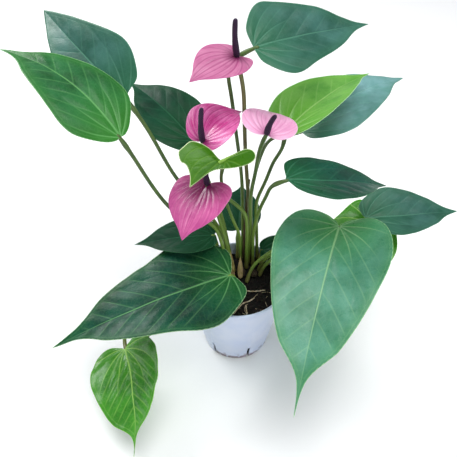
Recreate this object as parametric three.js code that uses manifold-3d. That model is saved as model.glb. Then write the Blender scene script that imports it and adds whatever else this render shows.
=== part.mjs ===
// Potted anthurium in a tapered nursery pot. Millimetres, +Z up, the pot's underside on z = 0, its axis on Z.
import * as THREE from "three";
import { mergeVertices } from "three/addons/utils/BufferGeometryUtils.js";
import Module from "manifold-3d";

// Pot
const RIM_RADIUS = 60; // outside of the rim
const FOOT_RADIUS = 41; // outside at the floor
const POT_HEIGHT = 108;
const POT_WALL = 1.8;
const POT_FLOOR = 2.4;
const RIM_BEAD = 1.2; // how far the rolled rim stands out of the wall
const RIM_BAND = 4; // height of the rolled rim
const POT_SIDES = 48;
const SLOTS = 6; // drainage slots around the foot
const SLOT_WIDTH = 3;
const SLOT_HEIGHT = 24;
const SLOT_IN = 5; // how far a slot runs in under the floor
const SLOT_TURN = -10; // degrees that the ring of slots is turned from the front

// Potting mix
const SOIL_BELOW_RIM = 12;
const SOIL_CROWN = 2; // the middle of the surface stands this much above its edge
const GAP = 0.3; // between pieces that touch

// Plant
const BLADE_THICKNESS = 1.2; // at the middle; the margin is sharp
const SPATHE_THICKNESS = 1.3;
const PETIOLE_RADIUS = 2.1;
const PEDUNCLE_RADIUS = 2.2;
const STEM_SIDES = 8;
const STEM_STEPS = 10;
const SPADIX_SIDES = 10;
const RIM_CLEARANCE = 2.5; // between the rim and a petiole that hangs over it
const FOOT_ZONE = 54; // soil radius for which the feet below are written

const MATERIALS = {
  pot_plastic: [0xdfe6f6, 0.35],
  potting_mix: [0x1b1412, 0.95],
  root_fibre: [0x8d7a68, 0.9],
  leaf_dark: [0x1f4a38, 0.4],
  leaf_mid: [0x3f8648, 0.42],
  leaf_young: [0x62a532, 0.4],
  petiole_green: [0x5f7c2e, 0.5],
  spathe_pink: [0xc9468f, 0.3],
  spathe_pale: [0xeaa6cd, 0.35],
  spadix_purple: [0x32103a, 0.7],
  sheath_straw: [0x9c8f4c, 0.7],
  stem_brown: [0x5b4630, 0.8],
};

const group = new THREE.Group();
const wasm = await Module();
wasm.setup();
const V = (x, y, z) => new THREE.Vector3(x, y, z);

const soilTop = POT_HEIGHT - SOIL_BELOW_RIM;
const outerRadius = (z) =>
  FOOT_RADIUS + ((RIM_RADIUS - RIM_BEAD - FOOT_RADIUS) * z) / POT_HEIGHT;
const innerRadius = (z) => outerRadius(z) - POT_WALL;
const footScale = (innerRadius(soilTop) - GAP) / FOOT_ZONE;
const onSoil = ([x, y, z = 0]) => V(x, y, z + soilTop);

function add(name, geometry, slot) {
  const [color, roughness] = MATERIALS[slot];
  const material = new THREE.MeshStandardMaterial({ color, roughness, metalness: 0 });
  material.name = slot;
  const mesh = new THREE.Mesh(geometry, material);
  mesh.name = name;
  group.add(mesh);
}

function closed(geometry) {
  geometry.deleteAttribute("normal");
  geometry.deleteAttribute("uv");
  return mergeVertices(geometry, 1e-4);
}

function solid(geometry) {
  const g = closed(geometry);
  return new wasm.Manifold(
    new wasm.Mesh({
      numProp: 3,
      vertProperties: Float32Array.from(g.attributes.position.array),
      triVerts: Uint32Array.from(g.index.array),
    }),
  );
}

function fromSolid(made) {
  const mesh = made.getMesh();
  const g = new THREE.BufferGeometry();
  g.setAttribute("position", new THREE.BufferAttribute(mesh.vertProperties, 3));
  g.setIndex(new THREE.BufferAttribute(mesh.triVerts, 1));
  return g;
}

// A solid of revolution about Z from [radius, height] points that start and end on the axis.
function turned(points, sides) {
  const profile = points.map(([r, z]) => new THREE.Vector2(r, z));
  return new THREE.LatheGeometry(profile, sides).rotateX(Math.PI / 2);
}

function fromTriangles(points, triangles) {
  const g = new THREE.BufferGeometry();
  g.setAttribute("position", new THREE.Float32BufferAttribute(points.flatMap((p) => p.toArray()), 3));
  g.setIndex(triangles.flat());
  return g;
}

// ---- Pot and potting mix

const bandFoot = POT_HEIGHT - RIM_BAND;
let pot = solid(
  turned(
    [
      [0, 0],
      [FOOT_RADIUS, 0],
      [outerRadius(bandFoot), bandFoot],
      [RIM_RADIUS, bandFoot + RIM_BEAD],
      [RIM_RADIUS, POT_HEIGHT - RIM_BEAD / 2],
      [RIM_RADIUS - RIM_BEAD / 2, POT_HEIGHT],
      [innerRadius(POT_HEIGHT), POT_HEIGHT],
      [innerRadius(POT_FLOOR), POT_FLOOR],
      [0, POT_FLOOR],
    ],
    POT_SIDES,
  ),
);
for (let i = 0; i < SLOTS; i++) {
  const reach = SLOT_IN + POT_WALL + (SLOT_HEIGHT * (RIM_RADIUS - FOOT_RADIUS)) / POT_HEIGHT;
  const slot = new THREE.BoxGeometry(2 * reach, SLOT_WIDTH, 2 * SLOT_HEIGHT)
    .translate(FOOT_RADIUS - SLOT_IN + reach, 0, 0)
    .rotateZ(((i + 0.5) * 2 * Math.PI) / SLOTS - Math.PI / 2 + THREE.MathUtils.degToRad(SLOT_TURN));
  pot = pot.subtract(solid(slot));
}
add("pot", fromSolid(pot), "pot_plastic");

const mixRadius = (z) => innerRadius(z) - GAP;
add(
  "potting_mix",
  closed(
    turned(
      [
        [0, POT_FLOOR + GAP],
        [mixRadius(POT_FLOOR + GAP), POT_FLOOR + GAP],
        [mixRadius(soilTop - SOIL_CROWN), soilTop - SOIL_CROWN],
        [0.8 * mixRadius(soilTop), soilTop - GAP],
        [0, soilTop - GAP],
      ],
      POT_SIDES,
    ),
  ),
  "potting_mix",
);

// ---- Blades

// Where a blade lies: its axis from junction to tip, its normal, and its left side.
function bladeFrame({ at, tip, roll = 0 }) {
  const from = onSoil(at);
  const axis = onSoil(tip).sub(from);
  const length = axis.length();
  axis.normalize();
  const flat = V(0, 0, 1).addScaledVector(axis, -axis.z).normalize();
  const normal = flat.applyAxisAngle(axis, -THREE.MathUtils.degToRad(roll));
  const left = normal.clone().cross(axis);
  return { from, axis, normal, left, length };
}

// One side of a heart-shaped outline as [along, across] fractions of the length and the half width.
function outlineSide({ lobe = 0.05, wide = 0.24, base = 0.8, full = 0.84, sharp = 0.2 }) {
  const points = [
    [0, 0],
    [-lobe, 0.28],
    [-0.85 * lobe, 0.7 * base],
    [0.04, base],
    [wide, 1],
    [0.5, full],
    [0.72, 0.6 * full],
    [0.88, sharp],
    [1, 0],
  ];
  const curve = new THREE.SplineCurve(points.map(([s, q]) => new THREE.Vector2(s, q)));
  return curve.getPoints(12);
}

// A closed lens of blade over rings that shrink from the margin to a centre.
// surface(along, across) gives a point of the middle surface; along and across are in mm.
function lens(margin, centre, surface, normal, thickness) {
  const rays = margin.length;
  const rings = 4;
  const points = [];
  const place = (ray, ring, side) => {
    const r = ring / rings;
    const flat = centre.clone().lerp(margin[ray % rays], r);
    return surface(flat).addScaledVector(normal, (side * thickness * (1 - r * r)) / 2);
  };
  for (const side of [1, -1]) {
    points.push(place(0, 0, side));
    for (let ring = 1; ring < rings; ring++)
      for (let ray = 0; ray < rays; ray++) points.push(place(ray, ring, side));
  }
  const shared = points.length;
  for (let ray = 0; ray < rays; ray++) points.push(place(ray, rings, 0));
  const half = 1 + (rings - 1) * rays;
  const id = (ray, ring, side) => {
    if (ring === rings) return shared + (ray % rays);
    const start = side > 0 ? 0 : half;
    return ring === 0 ? start : start + 1 + (ring - 1) * rays + (ray % rays);
  };
  const triangles = [];
  const face = (a, b, c, side) => triangles.push(side > 0 ? [a, b, c] : [a, c, b]);
  for (const side of [1, -1])
    for (let ray = 0; ray < rays; ray++) {
      face(id(0, 0, side), id(ray, 1, side), id(ray + 1, 1, side), side);
      for (let ring = 1; ring < rings; ring++) {
        const [a, b] = [id(ray, ring, side), id(ray + 1, ring, side)];
        const [c, d] = [id(ray, ring + 1, side), id(ray + 1, ring + 1, side)];
        face(a, c, d, side);
        face(a, d, b, side);
      }
    }
  return fromTriangles(points, triangles);
}

// half: widths left and right of the midrib. arch bows the midrib up, fold lifts both sides, curl lets
// the edges fall again, sweep bends the midrib sideways; all four are shares of the size they bend.
function blade(name, slot, thickness, leaf) {
  const { from, axis, normal, left, length } = bladeFrame(leaf);
  const { half, arch = 0.05, fold = 0.2, curl = 0.06, sweep = 0 } = leaf;
  const width = (half[0] + half[1]) / 2;
  const surface = (p) => {
    const s = p.x / length;
    const bow = 4 * s * (1 - s) * length;
    const rise = arch * bow + fold * (Math.hypot(p.y, 2) - 2) - (curl * p.y * p.y) / width;
    return from
      .clone()
      .addScaledVector(axis, p.x)
      .addScaledVector(left, p.y + sweep * bow)
      .addScaledVector(normal, rise);
  };
  const side = outlineSide(leaf);
  const [port, starboard] = half;
  const margin = [
    ...side.slice(0, -1).map((p) => new THREE.Vector2(p.x * length, -p.y * starboard)),
    ...side.slice(1).reverse().map((p) => new THREE.Vector2(p.x * length, p.y * port)),
  ];
  const centre = new THREE.Vector2(0.14 * length, 0);
  add(name, lens(margin, centre, surface, normal, thickness), slot);
}

// ---- Stalks

// A stalk of even thickness through its points.
function stalk(name, slot, radius, points) {
  const circle = new THREE.Shape();
  for (let i = 0; i < STEM_SIDES; i++) {
    const a = (i * 2 * Math.PI) / STEM_SIDES;
    const [x, y] = [radius * Math.cos(a), radius * Math.sin(a)];
    if (i) circle.lineTo(x, y);
    else circle.moveTo(x, y);
  }
  const extrudePath = new THREE.CatmullRomCurve3(points, false, "centripetal");
  const options = { steps: STEM_STEPS, bevelEnabled: false, extrudePath };
  add(name, closed(new THREE.ExtrudeGeometry(circle, options)), slot);
}

const foot = ([x, y]) => onSoil([x * footScale, y * footScale, GAP]);

// The foot of a stalk that leans toward its next point: the low edge of its end stays clear of the soil.
function standing(at, next, radius) {
  const start = foot(at);
  const run = Math.hypot(next.x - start.x, next.y - start.y);
  const rise = Math.abs(next.z - start.z);
  return start.setZ(start.z + (radius * run) / Math.hypot(run, rise));
}

// The stalk below a blade: from its foot, through its way points, to just under the junction.
function stalkBelow(name, slot, radius, thickness, leaf) {
  const { from, normal } = bladeFrame(leaf);
  const way = leaf.way.map((p) => (p.isVector3 ? p : onSoil(p)));
  const start = standing(leaf.foot, way[0], radius);
  const lean = from.clone().sub(way.at(-1) ?? start).normalize();
  const slope = Math.sqrt(Math.max(0, 1 - lean.dot(normal) ** 2));
  const end = from.clone().addScaledVector(normal, -(thickness / 2 + GAP + radius * slope));
  stalk(name, slot, radius, [start, ...way, end]);
}

// A point just over the rim, in the plan direction of (x, y).
function overRim(x, y) {
  const out = (RIM_RADIUS + PETIOLE_RADIUS) / Math.hypot(x, y);
  const radius = PETIOLE_RADIUS + RIM_CLEARANCE;
  return V(x * out, y * out, POT_HEIGHT + radius);
}

// ---- Leaves. Heights are above the soil; names go round the plant from the upper left.

const LEAVES = {
  back_left_high: {
    slot: "leaf_dark", at: [-112, 48, 223], tip: [-210, 156, 270], half: [41, 41], roll: 37,
    arch: 0.06, lobe: -0.05, wide: 0.27, base: 0.56, full: 0.77, sharp: 0.24,
    foot: [-7, 29], way: [[-20, 38, 54], [-68, 41, 131], [-95, 46, 192]],
  },
  left_high: {
    slot: "leaf_mid", at: [-113, 0, 211], tip: [-236, 75, 263], half: [44, 41],
    arch: 0.1, fold: 0.16, curl: 0.13, sweep: -0.04, lobe: 0.01, wide: 0.18, base: 0.48, full: 0.81,
    foot: [-8, 16],
    way: [[-19, 21, 52], [-30, 24, 77], [-68, 17, 101], [-81, 14, 121], [-99, 8, 167], [-106, 4, 189]],
  },
  back_left: {
    slot: "leaf_dark", at: [-50, 82, 153], tip: [-129, 170, 175], half: [36, 36], roll: 14,
    arch: 0.08, lobe: 0.08, wide: 0.21, base: 0.73,
    foot: [-6, 37], way: [[-18, 50, 64], [-38, 70, 120]],
  },
  back_right_high: {
    slot: "leaf_dark", at: [14, 56, 275], tip: [135, 121, 270], half: [42, 39], roll: -28,
    arch: 0, lobe: 0.01, sweep: 0.02, wide: 0.17, base: 0.55, full: 0.79, sharp: 0.17,
    foot: [8, 46], way: [[5, 52, 120], [-1, 60, 170], [-6, 64, 211], [-9, 63, 238], [-4, 60, 264]],
  },
  right_young: {
    slot: "leaf_young", at: [50, 51, 184], tip: [151, 139, 205], half: [40, 37], roll: 9,
    arch: 0.06, fold: 0.3, curl: 0, lobe: 0.04, wide: 0.23,
    foot: [26, 43], way: [[24, 47, 50], [23, 48, 90], [31, 49, 117], [41, 50, 149], [51, 50, 174]],
  },
  back_right: {
    slot: "leaf_dark", at: [72, 87, 162], tip: [200, 167, 184], half: [43, 45], roll: -5,
    arch: 0.08, lobe: 0.02, wide: 0.22, base: 0.63,
    foot: [16, 47], way: [[16, 50, 96], [26, 62, 145], [37, 72, 160]],
  },
  right_upper: {
    slot: "leaf_dark", at: [49, 9, 153], tip: [169, 48, 114], half: [37, 39],
    lobe: -0.03, sweep: -0.05, base: 0.67, full: 0.88,
    foot: [20, 32], way: [[20, 29, 65], [29, 19, 117], [39, 12, 145]],
  },
  right: {
    slot: "leaf_dark", at: [151, 37, 74], tip: [264, 56, 69], half: [37, 34], roll: -10,
    arch: 0.02, fold: 0.25, curl: -0.04, sweep: -0.02, lobe: 0.06, base: 0.71,
    foot: [28, 14], way: [[37, 15, 22], [60, 17, 36], [105, 18, 52], [135, 26, 64]],
  },
  right_lower: {
    slot: "leaf_mid", at: [160, 50, 54], tip: [122, -26, 2], half: [43, 46],
    lobe: 0.3,
    foot: [27, 22], way: [[35, 24, 18], [52, 29, 28], [95, 40, 34], [142, 48, 36]],
  },
  front_right: {
    slot: "leaf_mid", at: [116, 17, 79], tip: [54, -176, 11], half: [60, 61], roll: -5,
    arch: 0.09, lobe: 0.09, wide: 0.26, base: 0.97, full: 0.81, sharp: 0.11,
    foot: [12, 3], way: [[20, 12, 19], [44, 18, 41], [84, 22, 69]],
  },
  front_left: {
    slot: "leaf_dark", at: [-8, -17, 35], tip: [-202, -88, -4], half: [58, 61], roll: 2,
    curl: 0.11, lobe: 0.05, sweep: 0.01, wide: 0.17, base: 0.67, full: 0.76, sharp: 0.17,
    foot: [0, 2], way: [[-4, -7, 19]],
  },
  low_left: {
    slot: "leaf_young", at: [-132, -65, -41], tip: [-107, -187, -54], half: [45, 47], roll: -32,
    arch: 0.02, curl: -0.04, sweep: 0.06, lobe: 0.06, wide: 0.22, full: 0.86, sharp: 0.11,
    foot: [-13, 4], way: [overRim(-57, -20), [-92, -32, 0], [-124, -40, -28], [-135, -52, -43]],
  },
  left: {
    inner: true, slot: "leaf_dark", at: [-27, 31, 52], tip: [-121, 29, 38], half: [26, 27], roll: 11,
    arch: 0.04, base: 0.76, full: 0.88,
    foot: [-14, 23], way: [[-19, 27, 22], [-24, 30, 38]],
  },
  back_low: {
    inner: true, slot: "leaf_dark", at: [2, 60, 34], tip: [8, 135, 44], half: [28, 28],
    lobe: 0.06,
    foot: [2, 42], way: [[2, 52, 20]],
  },
  right_inner: {
    inner: true, slot: "leaf_dark", at: [31, 42, 16], tip: [89, 42, 26], half: [16, 18], roll: -20,
    lobe: 0.05,
    foot: [29, 35], way: [[29.5, 38, 8]],
  },
};

// An inner leaf is small and low, so it moves out with the feet of the stalks around it.
const spread = ([x, y, z]) => [x * footScale, y * footScale, z];
for (const [name, entry] of Object.entries(LEAVES)) {
  const leaf = entry.inner
    ? { ...entry, at: spread(entry.at), tip: spread(entry.tip), way: entry.way.map(spread) }
    : entry;
  blade(`leaf_${name}`, leaf.slot, BLADE_THICKNESS, leaf);
  stalkBelow(`petiole_${name}`, "petiole_green", PETIOLE_RADIUS, BLADE_THICKNESS, leaf);
}

// The newest leaf is still curled, so its margin is a closed loop of its own.
const NEW_LEAF = {
  at: [-17, -8, 185],
  tip: [-47, -31, 175],
  foot: [5, 32],
  way: [[2, 27, 60], [-4, 23, 81], [-12, 15, 116], [-17, 6, 151]],
  margin: [
    [-14, -7, 187], [-21, -5, 192], [-26, -3, 198], [-34, 1, 202], [-46, 4, 204], [-54, -2, 201],
    [-60, -10, 197], [-52, -15, 191], [-48, -22, 184], [-47, -31, 175], [-34, -23, 182],
    [-22, -17, 185], [-8, -17, 187], [8, -18, 192], [16, -14, 198], [13, -8, 202], [3, -5, 200],
    [-7, -8, 194],
  ],
};
{
  const loop = new THREE.CatmullRomCurve3(NEW_LEAF.margin.map(onSoil), true, "centripetal");
  const margin = loop.getPoints(26).slice(0, -1);
  const centre = onSoil([-20, -10, 188]);
  const normal = V(0, -0.45, 0.89).normalize();
  add("leaf_newest", lens(margin, centre, (p) => p.clone(), normal, BLADE_THICKNESS), "leaf_young");
  stalkBelow("petiole_newest", "petiole_green", PETIOLE_RADIUS * 0.85, BLADE_THICKNESS, NEW_LEAF);
}

// ---- Flowers: a spathe, the spadix that stands on its base, and the peduncle below

const FLOWERS = {
  top: {
    slot: "spathe_pink", at: [-2, 48, 270], tip: [-45, 8, 265], half: [25, 26], roll: 12,
    arch: 0.03, fold: 0.15, sweep: -0.02, lobe: 0.15, base: 0.85, full: 0.86, sharp: 0.25,
    spadix: [-4, 26, 315], foot: [20, 40], way: [[16, 41, 60], [8, 44, 165], [4, 46, 240]],
  },
  middle_left: {
    slot: "spathe_pink", at: [-36, 16, 196], tip: [4, 60, 203], half: [29, 27], roll: -8,
    arch: 0.13, fold: 0.26, curl: -0.03, sweep: 0.03, lobe: 0.1, base: 0.85, full: 0.85,
    spadix: [-35, 5, 240], foot: [-3, 21], way: [[-22, 30, 85], [-36, 27, 140], [-38, 22, 175]],
  },
  middle_right: {
    slot: "spathe_pale", at: [27, 13, 206], tip: [36, 63, 200], half: [29, 29], roll: -11,
    arch: 0.11, fold: 0.22, lobe: 0.09, base: 0.91, full: 0.84,
    spadix: [34, 2, 234], foot: [14, 35], way: [[16, 34, 60], [15, 33, 110], [19, 28, 150], [22, 22, 182]],
  },
  front: {
    slot: "spathe_pink", at: [-32, 1, 153], tip: [-56, -52, 125], half: [31, 31],
    arch: 0.04, fold: 0.13, sweep: -0.03, lobe: 0.11, base: 1, full: 0.9, sharp: 0.27,
    spadix: [-31, -6, 182], foot: [12, 27], way: [[10, 31, 81], [5, 31, 92], [-14, 30, 113], [-27, 14, 137]],
  },
};
const SPADIX_BASE = 3.1;
const SPADIX_TIP = 2.1;
const SPADIX_STAND = 1.5; // clear of the spathe's two lobes, which rise beside it

function spadix(name, flower) {
  const { from, normal } = bladeFrame(flower);
  const end = onSoil(flower.spadix);
  const lean = end.clone().sub(from).normalize();
  const slope = Math.sqrt(Math.max(0, 1 - lean.dot(normal) ** 2));
  const lift = (SPATHE_THICKNESS / 2 + SPADIX_STAND + SPADIX_BASE * slope) / lean.dot(normal);
  const start = from.addScaledVector(lean, lift);
  const length = start.distanceTo(end);
  const profile = [
    [0, 0],
    [SPADIX_BASE, 0],
    [SPADIX_BASE, 0.3 * length],
    [0.5 * (SPADIX_BASE + SPADIX_TIP), 0.65 * length],
    [SPADIX_TIP, length - 2.5],
    [0.7 * SPADIX_TIP, length - 0.7],
    [0, length],
  ];
  const turn = new THREE.Quaternion().setFromUnitVectors(V(0, 0, 1), lean);
  const g = turned(profile, SPADIX_SIDES).applyQuaternion(turn);
  add(name, closed(g.translate(start.x, start.y, start.z)), "spadix_purple");
}

for (const [name, flower] of Object.entries(FLOWERS)) {
  blade(`spathe_${name}`, flower.slot, SPATHE_THICKNESS, flower);
  spadix(`spadix_${name}`, flower);
  const slot = name === "top" ? "stem_brown" : "petiole_green";
  stalkBelow(`peduncle_${name}`, slot, PEDUNCLE_RADIUS, SPATHE_THICKNESS, flower);
}

// ---- Crowns, old stub, sheaths and loose roots

// A short upright stem base, rounded at the top.
function crown(name, slot, [x, y], radius, height) {
  const profile = [
    [0, 0],
    [radius, 0],
    [0.9 * radius, 0.6 * height],
    [0.55 * radius, 0.92 * height],
    [0, height],
  ];
  const at = foot([x, y]);
  add(name, closed(turned(profile, 12).translate(at.x, at.y, at.z)), slot);
}
crown("crown_left", "stem_brown", [5, 13], 5, 15);
crown("crown_right", "stem_brown", [20, 14], 4.5, 8);

const OLD_STEM = { foot: [9, 39], way: [[10, 45, 60]], top: [13, 50, 120], radius: 1.6 };
stalk("old_stem", "stem_brown", OLD_STEM.radius, [
  foot(OLD_STEM.foot),
  ...OLD_STEM.way.map(onSoil),
  onSoil(OLD_STEM.top),
]);

// Dry sheaths stand beside the stalks they once wrapped.
const SHEATHS = {
  front: { at: [-5, 7, 3], tip: [-7, 13, 44], half: [4.5, 4.5], arch: -0.08 },
  side: { at: [5, 6, 3], tip: [4, 9, 40], half: [3.5, 3.5], arch: -0.04 },
};
for (const [name, sheath] of Object.entries(SHEATHS))
  blade(`sheath_${name}`, "sheath_straw", 0.9, { ...sheath, lobe: -0.02, wide: 0.35, fold: -0.3, curl: 0 });

// Fibres of the mix that lie on its surface.
const FIBRES = {
  a: [[9, -12, 1.6], [20, -13, 1.8], [33, -11, 1.6]],
  b: [[-4, -45, 0.8], [1, -38, 1.2], [7, -31, 1.6], [14, -28, 1.8], [20, -23, 1.6]],
  c: [[11, -46, 0.8], [10.5, -40, 1.2], [10, -34.5, 1.6]],
};
for (const [name, points] of Object.entries(FIBRES)) {
  const laid = points.map(([x, y, z]) => onSoil([x * footScale, y * footScale, z]));
  stalk(`fibre_${name}`, "root_fibre", 0.8, laid);
}

export default group;
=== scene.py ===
"""Potted anthurium in a white nursery pot: the looks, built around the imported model. Metres, +Z up."""
from functools import partial
from math import cos, pi, radians, sin, tau

import bmesh
import bpy
import numpy as np
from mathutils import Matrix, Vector, noise


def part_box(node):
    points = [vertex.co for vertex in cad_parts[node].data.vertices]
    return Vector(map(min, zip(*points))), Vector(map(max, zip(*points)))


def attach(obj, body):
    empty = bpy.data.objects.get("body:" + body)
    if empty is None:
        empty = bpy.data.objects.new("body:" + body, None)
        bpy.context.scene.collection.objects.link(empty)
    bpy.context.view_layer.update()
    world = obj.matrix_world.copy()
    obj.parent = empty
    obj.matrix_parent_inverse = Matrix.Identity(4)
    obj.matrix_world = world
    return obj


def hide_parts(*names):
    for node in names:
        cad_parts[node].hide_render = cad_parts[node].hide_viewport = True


MM = 0.001
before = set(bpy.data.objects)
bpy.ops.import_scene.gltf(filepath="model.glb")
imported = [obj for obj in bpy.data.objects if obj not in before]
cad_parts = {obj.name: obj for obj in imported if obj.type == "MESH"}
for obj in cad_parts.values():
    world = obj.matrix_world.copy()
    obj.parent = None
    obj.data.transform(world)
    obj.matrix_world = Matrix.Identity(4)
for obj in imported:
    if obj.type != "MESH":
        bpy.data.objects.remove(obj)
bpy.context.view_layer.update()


# ---- Camera

bpy.ops.object.camera_add(location=(-0.010, -0.4505, 0.6081), rotation=(radians(47), 0, 0))
camera = bpy.context.object
camera.name = "camera"
camera.data.lens, camera.data.sensor_width = 44.11, 36
bpy.context.scene.camera = camera
bpy.context.scene.view_settings.view_transform = "Standard"


# ---- Shader nodes

def srgb(colour):
    """A linear colour from an sRGB hex value."""
    parts = [int(colour[i : i + 2], 16) / 255 for i in (1, 3, 5)]
    return (*(c / 12.92 if c <= 0.04045 else ((c + 0.055) / 1.055) ** 2.4 for c in parts), 1)


def node(tree, kind, *inputs, out=0, **settings):
    """Adds a shader node with its settings, and gives back its output out. inputs fill its sockets in
    order, or one dict fills them by name or number, and what is another node's output is linked."""
    made = tree.nodes.new("ShaderNode" + kind)
    for key, value in settings.items():
        setattr(made, key, value)
    named = inputs and isinstance(inputs[0], dict)
    for key, value in inputs[0].items() if named else enumerate(inputs):
        if isinstance(value, bpy.types.NodeSocket):
            tree.links.new(value, made.inputs[key])
        else:
            made.inputs[key].default_value = value
    return made.outputs[out]


# Settings of a Map Range node with soft ends, of a Mix node between two colours, and of Math nodes.
SOFT = {"interpolation_type": "SMOOTHSTEP"}
COLOUR = {"data_type": "RGBA", "out": 2}
PLUS, MINUS, TIMES, MOST = ({"operation": how} for how in ("ADD", "SUBTRACT", "MULTIPLY", "MAXIMUM"))


def surface(name, **sockets):
    """A new material with a Principled shader, whose uniform values are set on its own sockets. add, the
    third thing that it gives back, adds a node to the material."""
    material = bpy.data.materials.new(name)
    material.use_nodes = True
    tree = material.node_tree
    shader = next(n for n in tree.nodes if n.type == "BSDF_PRINCIPLED")
    for key, value in sockets.items():
        shader.inputs[key.replace("_", " ")].default_value = value
    return material, shader, partial(node, tree)


def speckle(add, spot_mm, detail=3.0, stretch=(1, 1, 1)):
    """Noise on the object's own coordinates, whose patches are about spot_mm wide."""
    laid = add("Mapping", {"Vector": add("TexCoord", out="Object"), "Scale": stretch})
    return add("TexNoise", {"Vector": laid, "Scale": 1 / (spot_mm * MM), "Detail": detail})


def layered(add, skin, *layers):
    """Colours laid over skin one after another. A layer is its share and its colour, and the share is a
    value, or a value with the low and high end of its range and the share at each."""
    for share, colour in layers:
        if isinstance(share, tuple):
            share = add("MapRange", *share, **SOFT)
        skin = add("Mix", {0: share, 6: skin, 7: srgb(colour)}, **COLOUR)
    return skin


def dress(add, shader, skin, rough, relief, depth_mm):
    """Links a surface's colour, roughness and relief. depth_mm is what a height of 1 stands for."""
    normal = add("Bump", {"Height": relief, "Distance": depth_mm * MM})
    for socket, value in (("Base Color", skin), ("Roughness", rough), ("Normal", normal)):
        shader.id_data.links.new(value, shader.inputs[socket])


def mark(add, name):
    """The three values of one of the piece's own attributes."""
    return add("SeparateXYZ", add("Attribute", attribute_name=name, out="Vector"), out=slice(3))


def from_line(add, phase, pitch):
    """Millimetres to the nearest of the lines that lie at whole numbers of phase, pitch mm apart."""
    return add("Math", add("Math", phase, 0.5, operation="PINGPONG"), pitch, **TIMES)


# ---- Leaf cuticle and spathe wax

NET_MM = 5.5  # cells of the fine net of veins, drawn coarser than they are so that they show


def leaf_cuticle(name, young, old, heart, vein, margin, below, vein_share, gloss, shine):
    """Waxy leaf skin. young and old are the two greens that it clouds between, heart the fresher green
    round the stalk, vein the pale main veins, and shine how strongly the wax mirrors."""
    material, shader, add = surface(name, Specular_IOR_Level=shine, IOR=1.4)
    (phase, pitch, edge), (basal, basal_pitch, to_base), (share, beside, below_side) = (
        mark(add, "veins"), mark(add, "basal"), mark(add, "place"))
    side_vein = add(
        "Math", add("MapRange", from_line(add, phase, pitch), 0.2, 1.3, 0.3, 0, **SOFT),
        add("MapRange", edge, 2, 12, **SOFT), **TIMES,
    )
    basal_vein = add(
        "Math", add("MapRange", from_line(add, basal, basal_pitch), 0.3, 1.1, 1, 0, **SOFT),
        add("MapRange", to_base, 8, 75, 0.85, 0, **SOFT), **TIMES,
    )
    midrib = add(
        "Math", add("MapRange", add("Math", beside, share, **PLUS), 0.75, 1.7, 1, 0, **SOFT),
        add("MapRange", share, 0.45, 1.0, 1, 0.3, **SOFT), **TIMES,
    )
    from_edge_vein = add("Math", add("Math", edge, 4.0, **MINUS), operation="ABSOLUTE")
    edge_vein = add("MapRange", from_edge_vein, 0.15, 0.7, 0.2, 0, **SOFT)
    cells = add("TexVoronoi", {"Vector": add("TexCoord", out="Object"), "Scale": 1 / (NET_MM * MM)},
                feature="DISTANCE_TO_EDGE")
    veins = add("MapRange", cells, 0.0, 0.09, 0.1, 0, **SOFT)
    for more in (midrib, side_vein, basal_vein, edge_vein):
        veins = add("Math", veins, more, **MOST)
    cloud = add(
        "Math", add("MapRange", speckle(add, 34), 0.35, 0.68, 0, 0.8, **SOFT),
        add("MapRange", speckle(add, 6), 0.4, 0.7, 0, 0.2, **SOFT), **PLUS,
    )
    skin = layered(
        add, srgb(young), (cloud, old), ((to_base, 5, 70, 0.8, 0), heart),
        ((edge, 1, 14, 0.35, 0), heart), (add("Math", veins, vein_share, **TIMES), vein),
        ((edge, 0.3, 1.1, 0.85, 0), margin), (below_side, below),
    )
    rough = add("MapRange", speckle(add, 9), 0.3, 0.75, gloss - 0.06, gloss + 0.1, **SOFT)
    rough = add("Math", rough, add("Math", below_side, 0.15, **TIMES), **PLUS)
    grain = add("Math", speckle(add, 2.2, 2.0), 0.45, **TIMES)
    dress(add, shader, skin, rough, add("Math", grain, add("Math", veins, 0.8, **TIMES), **MINUS), 0.3)
    return material


# A mature blade: thick dark cuticle, which mirrors the sky as a pale blue-grey sheen.
mature_leaf = leaf_cuticle(
    "mature_leaf_cuticle", "#1b5344", "#0d362a", "#1f5c38", "#468a6a", "#3f7a50", "#44735c",
    0.5, 0.33, 0.35,
)
# The same with a painted sky reflection: a pale blue-grey sheen put into its colour, on blades that face the
# sky.
sky_sheen_leaf = leaf_cuticle(
    "sky_sheen_leaf_cuticle", "#3b6a60", "#1e4f40", "#2a6444", "#568f76", "#4b8560", "#4a7864",
    0.45, 0.38, 0.4,
)
# The same with a stronger painted sky reflection: a thick pale blue-grey sheen put into its colour.
sky_reflection_leaf = leaf_cuticle(
    "sky_reflection_leaf_cuticle", "#7ba5a9", "#578984", "#2f6b50", "#7cae9e", "#5d9470", "#4a7864", 0.4, 0.36, 0.5
)
# The same in the shade of the plant: nearly black green.
shade_leaf = leaf_cuticle(
    "shade_leaf_cuticle", "#14402e", "#0a2a1c", "#174a2a", "#2f6647", "#386d45", "#3c664e",
    0.45, 0.36, 0.14,
)
# The same with paler veins, as on the blade that lies lowest in front.
veined_leaf = leaf_cuticle(
    "veined_leaf_cuticle", "#174c3a", "#0b3022", "#205c28", "#6fae6c", "#a6cd98", "#4a7a5c",
    0.62, 0.3, 0.22,
)
# Half-grown: brighter green, veins and margin much paler.
fresh_leaf = leaf_cuticle(
    "fresh_leaf_cuticle", "#29693a", "#164a22", "#357c28", "#6fb168", "#90c486", "#548656", 0.6, 0.32, 0.3
)
# The largest blade: green, paled to grey-green by a sheen painted into its colour, and glossy to a satin
# sheen besides.
broad_leaf = leaf_cuticle(
    "broad_leaf_cuticle", "#58967c", "#3d7c5e", "#3f8740", "#a0d094", "#a4d698", "#6c9a72",
    0.55, 0.32, 0.5,
)
# Young: yellow-green and soft, its margin nearly white.
young_leaf = leaf_cuticle(
    "young_leaf_cuticle", "#6fa94a", "#4f9034", "#5a9e22", "#a4cf78", "#bfe8b5", "#8bb45c", 0.5, 0.34, 0.4
)
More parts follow.
